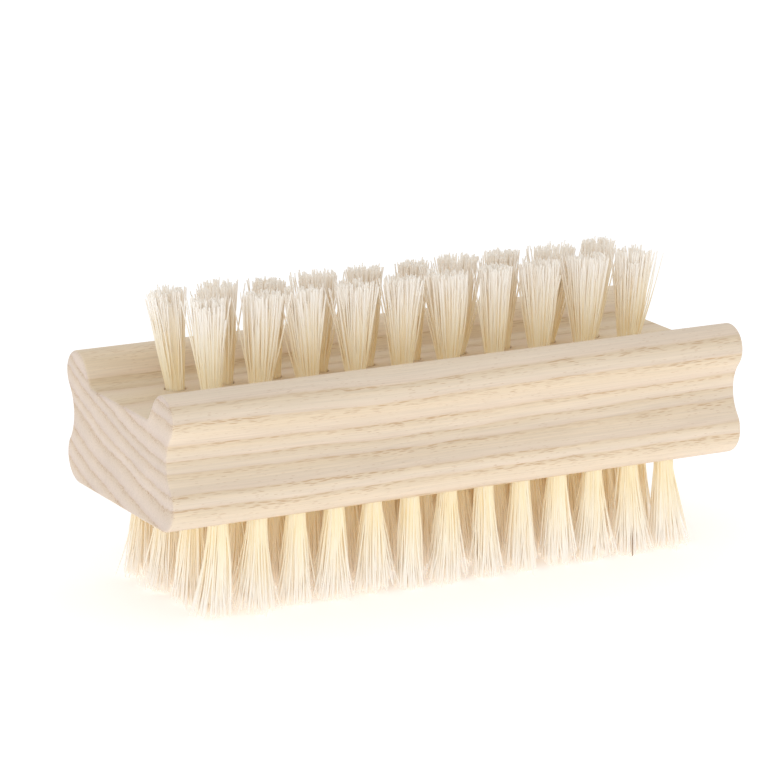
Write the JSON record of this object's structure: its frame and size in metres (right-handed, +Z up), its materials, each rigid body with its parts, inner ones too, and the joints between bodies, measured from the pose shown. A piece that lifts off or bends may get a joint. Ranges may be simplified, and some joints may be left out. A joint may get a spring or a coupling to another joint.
{
  "type": "nail brush",
  "caption": "Double-sided wooden nail brush: a moulded block with finger grooves and bristle tufts in drilled holes, short rows in a top channel and a wide field below.",
  "frame": {"origin": "midway along and across the brush, on the plane of the lower bristle tips that it stands on", "axes": "+X along the rows of tufts, +Y across the block from the front upper row to the back one, +Z up"},
  "size_m": [0.095, 0.036, 0.045],
  "materials": {
    "ash_wood": "bare sanded, unvarnished",
    "bristle": "natural cream bristle, trimmed tips",
    "anchor_wire": "plain drawn flat wire"
  },
  "bodies": {
    "root": {"handle_block": "ash_wood", "upper_back_tuft_01": "bristle", "upper_back_tuft_02": "bristle", "upper_back_tuft_03": "bristle", "upper_back_tuft_04": "bristle", "upper_back_tuft_05": "bristle", "upper_back_tuft_06": "bristle", "upper_back_tuft_07": "bristle", "upper_back_tuft_08": "bristle", "upper_back_tuft_09": "bristle", "upper_back_tuft_10": "bristle", "upper_front_tuft_01": "bristle", "upper_front_tuft_02": "bristle", "upper_front_tuft_03": "bristle", "upper_front_tuft_04": "bristle", "upper_front_tuft_05": "bristle", "upper_front_tuft_06": "bristle", "upper_front_tuft_07": "bristle", "upper_front_tuft_08": "bristle", "upper_front_tuft_09": "bristle", "upper_front_tuft_10": "bristle", "lower_tufts_01": "bristle", "lower_tufts_02": "bristle", "lower_tufts_03": "bristle", "lower_tufts_04": "bristle", "lower_tufts_05": "bristle", "lower_tufts_06": "bristle", "lower_tufts_07": "bristle", "lower_tufts_08": "bristle", "lower_tufts_09": "bristle", "lower_tufts_10": "bristle", "lower_tufts_11": "bristle", "lower_tufts_12": "bristle", "lower_tufts_13": "bristle", "upper_back_anchors": "anchor_wire", "upper_front_anchors": "anchor_wire", "lower_anchors_1": "anchor_wire", "lower_anchors_2": "anchor_wire", "lower_anchors_3": "anchor_wire", "lower_anchors_4": "anchor_wire"}
  },
  "joints": []
}
